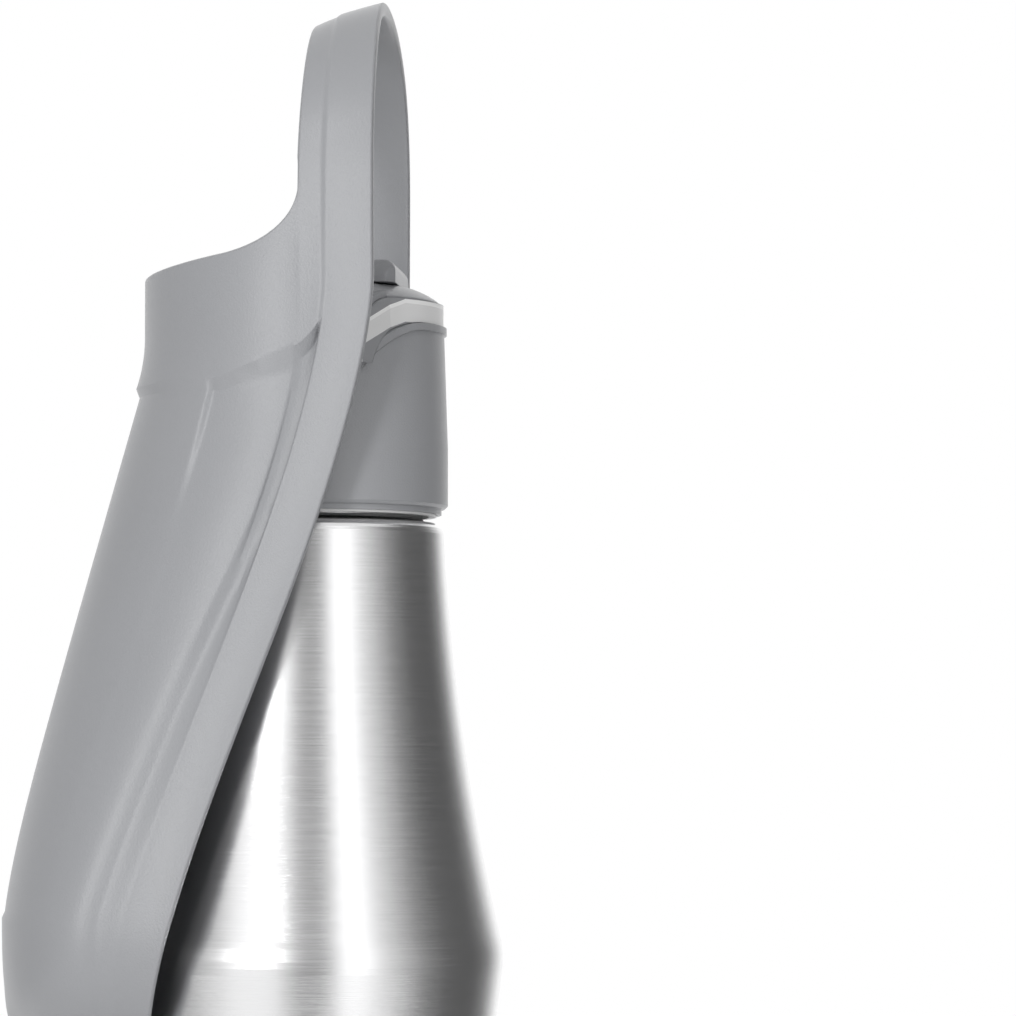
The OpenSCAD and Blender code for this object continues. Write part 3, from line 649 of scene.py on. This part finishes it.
def grained(name, color, rough, spread, grain, bump):
    """Moulded plastic: faint cloudy colour, a fine spark-eroded grain and slightly uneven gloss."""
    mat, tree, bsdf = new_material(name, color, rough)
    link = tree.links.new
    coord = tree.nodes.new("ShaderNodeTexCoord")
    clouds = add(tree, "ShaderNodeTexNoise", Scale=38.0, Detail=4.0)
    link(coord.outputs["Object"], clouds.inputs["Vector"])
    uneven(tree, bsdf, clouds, color, spread, rough - 0.05, rough + 0.05)
    fine = add(tree, "ShaderNodeTexNoise", Scale=grain, Detail=3.0, Roughness=0.6)
    link(coord.outputs["Object"], fine.inputs["Vector"])
    skin = add(tree, "ShaderNodeBump", Strength=bump, Distance=0.0002)
    bevel = add(tree, "ShaderNodeBevel", Radius=0.0003)
    bevel.samples = 4
    link(fine.outputs["Fac"], skin.inputs["Height"])
    link(bevel.outputs["Normal"], skin.inputs["Normal"])
    link(skin.outputs["Normal"], bsdf.inputs["Normal"])
    return mat


def brushed(name, color, rough):
    """Stainless steel brushed round the bottle: fine horizontal scratches and a stretched gloss."""
    mat, tree, bsdf = new_material(name, color, rough, 1.0)
    link = tree.links.new
    bsdf.inputs["Anisotropic"].default_value = 0.7
    coord = tree.nodes.new("ShaderNodeTexCoord")
    tangent = tree.nodes.new("ShaderNodeTangent")
    tangent.direction_type = "RADIAL"
    tangent.axis = "Z"
    link(tangent.outputs["Tangent"], bsdf.inputs["Tangent"])
    squeeze = add(tree, "ShaderNodeMapping", Scale=(60, 60, 9000))
    link(coord.outputs["Object"], squeeze.inputs["Vector"])
    lines = add(tree, "ShaderNodeTexNoise", Scale=1.0, Detail=4.0, Roughness=0.65)
    link(squeeze.outputs["Vector"], lines.inputs["Vector"])
    uneven(tree, bsdf, lines, color, 0.1, rough - 0.07, rough + 0.09)
    bump = add(tree, "ShaderNodeBump", Strength=0.12, Distance=0.0001)
    link(lines.outputs["Fac"], bump.inputs["Height"])
    link(bump.outputs["Normal"], bsdf.inputs["Normal"])
    return mat


def banded(mat, other, low, high):
    """Keeps the colour between two heights and on the lugs, with a painted highlight along the top: a
    near-white strip standing in for the glint on the band's bevelled edge.

    The two lines fall away sideways, as the band does. Outside them the piece takes the other colour.
    """
    tree = mat.node_tree
    bsdf = tree.nodes["Principled BSDF"]
    coord = tree.nodes.new("ShaderNodeTexCoord")
    split = tree.nodes.new("ShaderNodeSeparateXYZ")
    tree.links.new(coord.outputs["Object"], split.inputs[0])
    side = math_node(tree, "ABSOLUTE", split.outputs["X"], 0.0)
    past = math_node(tree, "MULTIPLY", math_node(tree, "SUBTRACT", side, BAND_BEND_X * MM), BAND_FALL)
    level = math_node(tree, "ADD", split.outputs["Z"], math_node(tree, "MAXIMUM", past, 0.0))
    above = math_node(tree, "GREATER_THAN", level, low * MM)
    above = math_node(tree, "MAXIMUM", above, math_node(tree, "GREATER_THAN", side, LUG_X * MM))
    inside = math_node(tree, "MULTIPLY", above, math_node(tree, "LESS_THAN", level, high * MM))
    # Painted highlight: the strip just below the band's top gets a near-white colour in place of the light
    # its bevel catches.
    edge = math_node(tree, "GREATER_THAN", level, (high - BAND_EDGE) * MM)
    plain = bsdf.inputs["Base Color"].links[0].from_socket
    for mask, color, over in ((edge, PAINTED_BEVEL_HIGHLIGHT, True), (inside, other, False)):
        choice = tree.nodes.new("ShaderNodeMixRGB")
        choice.inputs[2 if over else 1].default_value = (*color, 1)
        tree.links.new(plain, choice.inputs[1 if over else 2])
        tree.links.new(mask, choice.inputs[0])
        plain = choice.outputs[0]
    tree.links.new(plain, bsdf.inputs["Base Color"])
    return mat


GREY_COLOR = (0.32, 0.325, 0.34)
WHITE_COLOR = (0.80, 0.80, 0.80)
# Near-white colour painted along the band's top as a highlight on its bevel.
PAINTED_BEVEL_HIGHLIGHT = (0.97, 0.97, 0.97)
GREY = grained("grey_plastic", GREY_COLOR, rough=0.35, spread=0.03, grain=2600.0, bump=0.3)
WHITE = grained("white_plastic", WHITE_COLOR, rough=0.38, spread=0.02, grain=1800.0, bump=0.12)
BAND = grained("band_plastic", WHITE_COLOR, rough=0.38, spread=0.02, grain=1800.0, bump=0.12)
banded(BAND, GREY_COLOR, BAND_LOW, BAND_TOP - 0.1)
SILICONE = grained("silicone", (0.62, 0.63, 0.65), rough=0.55, spread=0.03, grain=900.0, bump=0.1)
STEEL = brushed("brushed_steel", (0.74, 0.74, 0.745), 0.19)
PIN = brushed("pin_steel", (0.62, 0.62, 0.63), 0.3)

LOOKS = {
    "steel_body": STEEL, "base_plate": STEEL, "neck_seal": SILICONE, "thread_sleeve": WHITE,
    "collar": GREY, "hinge_yoke": BAND, "cap": GREY, "vent_valve": SILICONE, "outlet_seal": SILICONE,
    "pivot_pin_left": PIN, "pivot_pin_right": PIN, "lock_slider": GREY,
}
for node_name, look in LOOKS.items():
    mesh = nodes[node_name].data
    mesh.materials.clear()
    mesh.materials.append(look)

trough = trough_moulding()
trough.data.materials.append(GREY)
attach(trough, "trough")
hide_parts("trough")
for name, side in (("boss_left", -1), ("boss_right", 1)):
    piece = boss(name, side)
    piece.data.materials.append(GREY)
    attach(piece, "trough")
for piece, body, node_name in ((cap_moulding(), "head", "cap"),
                               (slider_moulding(), "slide_lock", "lock_slider")):
    piece.data.materials.append(GREY)
    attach(piece, body)
    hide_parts(node_name)

# ---------------------------------------------------------------- studio, in metres
FLOOR_HALF = 0.24
FLOOR_DROP = 0.0002         # keeps the floor clear of the base
FLOOR_GLOW = 1.4
FLOOR_SHARE = 0.6           # part of the floor's light to the camera and metal that is glow
OVERHEAD = 0.45             # the world's light on everything but the background
WALL_R = 1.3
WALL_Z = (-1.0, 1.1)
WALL_STEPS = 96
WALL_PEAK = 2.0
# Azimuth in degrees and radiance of the wall of light round the bottle
WALL_STOPS = [
    (-180, .45), (-150, .45), (-135, .7), (-124, 1.2), (-98, 1.2), (-92, .7), (-85, .34), (-71, .34),
    (-66, .75), (-59, 1.7), (-47, 1.7), (-40, 1.0), (-30, .76), (-20, .5), (-8, .24), (8, .12),
    (32, .11), (48, .24), (60, .8), (74, 1.3), (100, 1.4), (120, 1.0), (150, .6), (180, .45)]


def background_ray(tree):
    """1 where a ray comes from the camera, off metal or through glass."""
    path = tree.nodes.new("ShaderNodeLightPath").outputs
    seen = math_node(tree, "MAXIMUM", path["Is Camera Ray"], path["Is Glossy Ray"])
    return math_node(tree, "MAXIMUM", seen, path["Is Transmission Ray"])


def paper_floor():
    """Pale floor that shows white but keeps the object's shadow."""
    s = FLOOR_HALF
    mesh = bpy.data.meshes.new("floor")
    mesh.from_pydata([(-s, -s, 0), (s, -s, 0), (s, s, 0), (-s, s, 0)], [], [(0, 1, 2, 3)])
    floor = placed("floor", mesh)
    floor.location.z = -FLOOR_DROP
    mat, tree, bsdf = new_material("floor_paper", (0.86, 0.86, 0.86), 0.9)
    glow = add(tree, "ShaderNodeEmission", Strength=FLOOR_GLOW)
    blend = tree.nodes.new("ShaderNodeMixShader")
    link = tree.links.new
    link(math_node(tree, "MULTIPLY", background_ray(tree), FLOOR_SHARE), blend.inputs[0])
    link(bsdf.outputs[0], blend.inputs[1])
    link(glow.outputs[0], blend.inputs[2])
    link(blend.outputs[0], tree.nodes["Material Output"].inputs["Surface"])
    mesh.materials.append(mat)


def world_light():
    """White to the camera and in metal. The diffuse light from above is dimmer."""
    world = bpy.data.worlds.new("studio")
    bpy.context.scene.world = world
    world.use_nodes = True
    tree = world.node_tree
    tree.nodes.clear()
    link = tree.links.new
    blend = tree.nodes.new("ShaderNodeMixShader")
    link(background_ray(tree), blend.inputs[0])
    for place, level in ((1, OVERHEAD), (2, 1.0)):
        light = add(tree, "ShaderNodeBackground", Color=(1, 1, 1, 1), Strength=level)
        link(light.outputs[0], blend.inputs[place])
    link(blend.outputs[0], tree.nodes.new("ShaderNodeOutputWorld").inputs["Surface"])


def light_wall():
    """Round wall that the camera doesn't see, shining in upright bright and dark bands."""
    bm = bmesh.new()
    join_rings(bm, *[[bm.verts.new((WALL_R * math.cos(a), WALL_R * math.sin(a), z))
                      for a in full_turn(WALL_STEPS)] for z in WALL_Z])
    wall = mesh_object("light_wall", bm)
    wall.visible_camera = False
    wall.visible_shadow = False
    mat, tree, bsdf = new_material("light_wall", (0, 0, 0), 1.0)
    tree.nodes.remove(bsdf)
    link = tree.links.new
    coord = tree.nodes.new("ShaderNodeTexCoord")
    split = tree.nodes.new("ShaderNodeSeparateXYZ")
    link(coord.outputs["Object"], split.inputs[0])
    behind = math_node(tree, "MULTIPLY", split.outputs["Y"], -1.0)
    turn = add(tree, "ShaderNodeMapRange", From_Min=-math.pi, From_Max=math.pi)
    link(math_node(tree, "ARCTAN2", split.outputs["X"], behind), turn.inputs["Value"])
    bands = tree.nodes.new("ShaderNodeValToRGB")
    stops = bands.color_ramp
    stops.interpolation = "EASE"
    while len(stops.elements) < len(WALL_STOPS):
        stops.elements.new(0.5)
    for element, (degrees, value) in zip(stops.elements, WALL_STOPS):
        element.position = (degrees + 180) / 360
        element.color = (value / WALL_PEAK, value / WALL_PEAK, value / WALL_PEAK, 1)
    link(turn.outputs["Result"], bands.inputs["Fac"])
    glow = add(tree, "ShaderNodeEmission", Strength=WALL_PEAK)
    link(bands.outputs["Color"], glow.inputs["Color"])
    link(glow.outputs[0], tree.nodes["Material Output"].inputs["Surface"])
    mat.cycles.emission_sampling = "NONE"
    wall.data.materials.append(mat)


def lamp(name, azimuth, elevation, size, power, aim_z):
    """Lamp a metre from a point on the bottle's axis, turned towards it."""
    light = bpy.data.lights.new(name, "AREA")
    light.shape = "RECTANGLE"
    light.size, light.size_y = size
    light.energy = power
    obj = placed(name, light)
    a, e = math.radians(azimuth), math.radians(elevation)
    away = Vector((math.sin(a) * math.cos(e), -math.cos(a) * math.cos(e), math.sin(e)))
    obj.location = away + Vector((0, 0, aim_z))
    obj.rotation_euler = (-away).to_track_quat("-Z", "Y").to_euler()


# ---------------------------------------------------------------- camera
# Side view, the trough to the left, low and from far away. Places in the frame are in pixels.
MM_PER_PX = 0.186
FRAME_PX = 1016
AXIS_PX = 303               # the bottle's axis, from the left
BASE_PX = 1410              # its base, from the top
EYE_PX = 800                # the camera's own height
CAM_AZIMUTH = -85.5
CAM_DISTANCE = 1.06
SENSOR = 36.0


def camera():
    cam = bpy.data.cameras.new("camera")
    obj = placed("camera", cam)
    cam.sensor_width = SENSOR
    cam.lens = SENSOR * CAM_DISTANCE / (FRAME_PX * MM_PER_PX * MM)
    cam.clip_start = 0.05
    a = math.radians(CAM_AZIMUTH)
    outward = Vector((math.sin(a), -math.cos(a), 0))
    right = Vector((math.cos(a), math.sin(a), 0))
    centre_z = (BASE_PX - FRAME_PX / 2) * MM_PER_PX * MM
    aim = right * (FRAME_PX / 2 - AXIS_PX) * MM_PER_PX * MM + Vector((0, 0, centre_z))
    place = aim + outward * CAM_DISTANCE
    place.z = (BASE_PX - EYE_PX) * MM_PER_PX * MM
    obj.location = place
    obj.rotation_euler = (aim - place).to_track_quat("-Z", "Y").to_euler()
    bpy.context.scene.camera = obj


bpy.context.scene.view_settings.view_transform = "Standard"
paper_floor()
world_light()
light_wall()
lamp("key", azimuth=-101, elevation=30, size=(0.1, 0.2), power=1.8, aim_z=0.2)
lamp("strip", azimuth=-109, elevation=4, size=(0.14, 0.2), power=2.0, aim_z=0.14)
camera()
